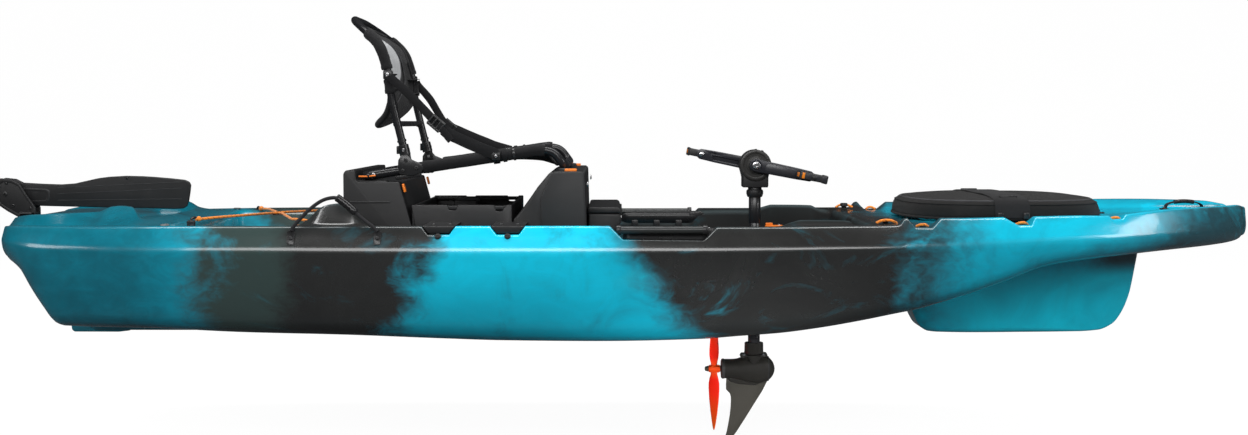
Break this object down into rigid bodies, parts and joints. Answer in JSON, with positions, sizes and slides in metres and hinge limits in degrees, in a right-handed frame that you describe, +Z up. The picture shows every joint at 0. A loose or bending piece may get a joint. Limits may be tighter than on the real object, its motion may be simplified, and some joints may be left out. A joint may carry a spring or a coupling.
{
  "type": "pedal boat",
  "caption": "Sit-on-top fishing kayak with tri-form hull, raised frame chair on risers, lift-out pedal propeller drive, stowable stern rudder and domed bow hatch.",
  "frame": {"origin": "on the centreline at mid-length of the hull, at the height of the keel bottom", "axes": "+X towards the bow, +Y to port, +Z up"},
  "size_m": [3.6365, 0.92, 1.2425],
  "materials": {
    "hull": "glossy moulded polyethylene, swirled teal and charcoal",
    "black_plastic": "fine textured black moulding",
    "hatch_cover": "black neoprene over foam",
    "fabric": "coarse woven mesh",
    "webbing": "woven nylon webbing",
    "black_tube": "satin black anodised tube",
    "orange_cord": "braided elastic cord",
    "drive_casting": "satin dark grey coated casting",
    "steel": "brushed stainless",
    "propeller": "red-orange moulded nylon"
  },
  "bodies": {
    "hull": {"hull": "hull", "skid_plate": "black_plastic", "bow_handle": "webbing", "side_handle_right": "webbing", "side_handle_left": "webbing", "side_rail_right": "black_tube", "side_rail_left": "black_tube", "tankwell_bungee_right": "orange_cord", "tankwell_bungee_left": "orange_cord", "bungee_hook_right": "black_plastic", "bungee_hook_left": "black_plastic", "bungee_clip": "black_plastic", "riser_bolt_right_rear": "black_plastic", "riser_bolt_right_front": "black_plastic", "riser_bolt_left_rear": "black_plastic", "riser_bolt_left_front": "black_plastic", "hatch_rim": "black_plastic", "hatch_hinge": "black_plastic", "rear_seat_riser": "black_plastic", "front_seat_riser": "black_plastic", "seat_tray": "black_plastic", "front_tray": "black_plastic", "seat_base_frame": "black_tube", "seat_base_fabric": "fabric", "seat_hinge_right": "black_plastic", "seat_hinge_left": "black_plastic", "knob_base": "black_plastic", "rudder_bracket": "black_plastic", "rudder_pin": "steel"},
    "backrest": {"backrest_frame": "black_tube", "backrest_crossbar": "black_tube", "backrest_fabric": "fabric", "seat_strap_right": "webbing", "seat_strap_left": "webbing"},
    "hatch": {"hatch_cover": "hatch_cover", "hatch_strap": "webbing"},
    "knob": {"steering_knob": "black_plastic"},
    "drive": {"drive_flange": "black_plastic", "drive_column": "black_tube", "column_collar": "drive_casting", "gearbox_housing": "drive_casting", "gearbox_cover": "drive_casting", "lower_gearcase": "drive_casting"},
    "lock_lever": {"drive_lock_lever": "black_plastic"},
    "crank": {"crank_axle": "steel", "crank_gear": "steel", "crank_arm_right": "drive_casting", "crank_arm_left": "drive_casting", "crank_bolt_right": "steel", "crank_bolt_left": "steel"},
    "pedal_r": {"pedal_right": "black_plastic"},
    "pedal_l": {"pedal_left": "black_plastic"},
    "shaft": {"drive_shaft": "steel"},
    "prop": {"prop_shaft": "steel", "propeller": "propeller", "prop_nut": "black_plastic"},
    "rudder_yoke": {"rudder_head": "black_plastic", "rudder_pivot_bolt": "steel"},
    "rudder_fin": {"rudder_blade": "black_plastic"}
  },
  "joints": [
    {"name": "drive_lift", "type": "slide", "parent": "hull", "child": "drive", "axis": [0, 0, 1], "range_m": [0, 0.36]},
    {"name": "drive_lock_turn", "type": "hinge", "parent": "drive", "child": "lock_lever", "pos_m": [0.408, 0, 0.303], "axis": [0, 0, 1], "range_deg": [0, 90]},
    {"name": "crank_spin", "type": "hinge", "parent": "drive", "child": "crank", "pos_m": [0.3368, 0, 0.4851], "axis": [0, 1, 0], "continuous": true},
    {"name": "pedal_right_spin", "type": "hinge", "parent": "crank", "child": "pedal_r", "pos_m": [0.49065, -0.103, 0.4538], "axis": [0, 1, 0], "continuous": true},
    {"name": "pedal_left_spin", "type": "hinge", "parent": "crank", "child": "pedal_l", "pos_m": [0.18295, 0.103, 0.5164], "axis": [0, 1, 0], "continuous": true},
    {"name": "shaft_spin", "type": "hinge", "parent": "drive", "child": "shaft", "pos_m": [0.3368, 0, 0], "axis": [0, 0, 1], "continuous": true},
    {"name": "prop_spin", "type": "hinge", "parent": "drive", "child": "prop", "pos_m": [0.2194, 0, -0.1165], "axis": [1, 0, 0], "continuous": true},
    {"name": "rudder_steer", "type": "hinge", "parent": "hull", "child": "rudder_yoke", "pos_m": [-1.79, 0, 0.335], "axis": [0, 0, 1], "range_deg": [-25, 25]},
    {"name": "rudder_flip", "type": "hinge", "parent": "rudder_yoke", "child": "rudder_fin", "pos_m": [-1.847, 0, 0.402], "axis": [0, 1, 0], "range_deg": [-260, 0]},
    {"name": "steering_knob_turn", "type": "hinge", "parent": "hull", "child": "knob", "pos_m": [-0.235, 0.372, 0.345], "axis": [0, 0, 1], "range_deg": [-60, 60]},
    {"name": "backrest_fold", "type": "hinge", "parent": "hull", "child": "backrest", "pos_m": [-0.648, 0, 0.506], "axis": [0, 1, 0], "range_deg": [-10, 78], "deforming": ["seat_strap_right", "seat_strap_left"]},
    {"name": "hatch_open", "type": "hinge", "parent": "hull", "child": "hatch", "pos_m": [1.33, 0, 0.352], "axis": [0, 1, 0], "range_deg": [0, 110]}
  ],
  "couplings": [
    {"joint": "shaft_spin", "follows": "crank_spin", "ratio": 4},
    {"joint": "prop_spin", "follows": "crank_spin", "ratio": 10},
    {"joint": "steering_knob_turn", "follows": "rudder_steer", "ratio": 2.4}
  ]
}
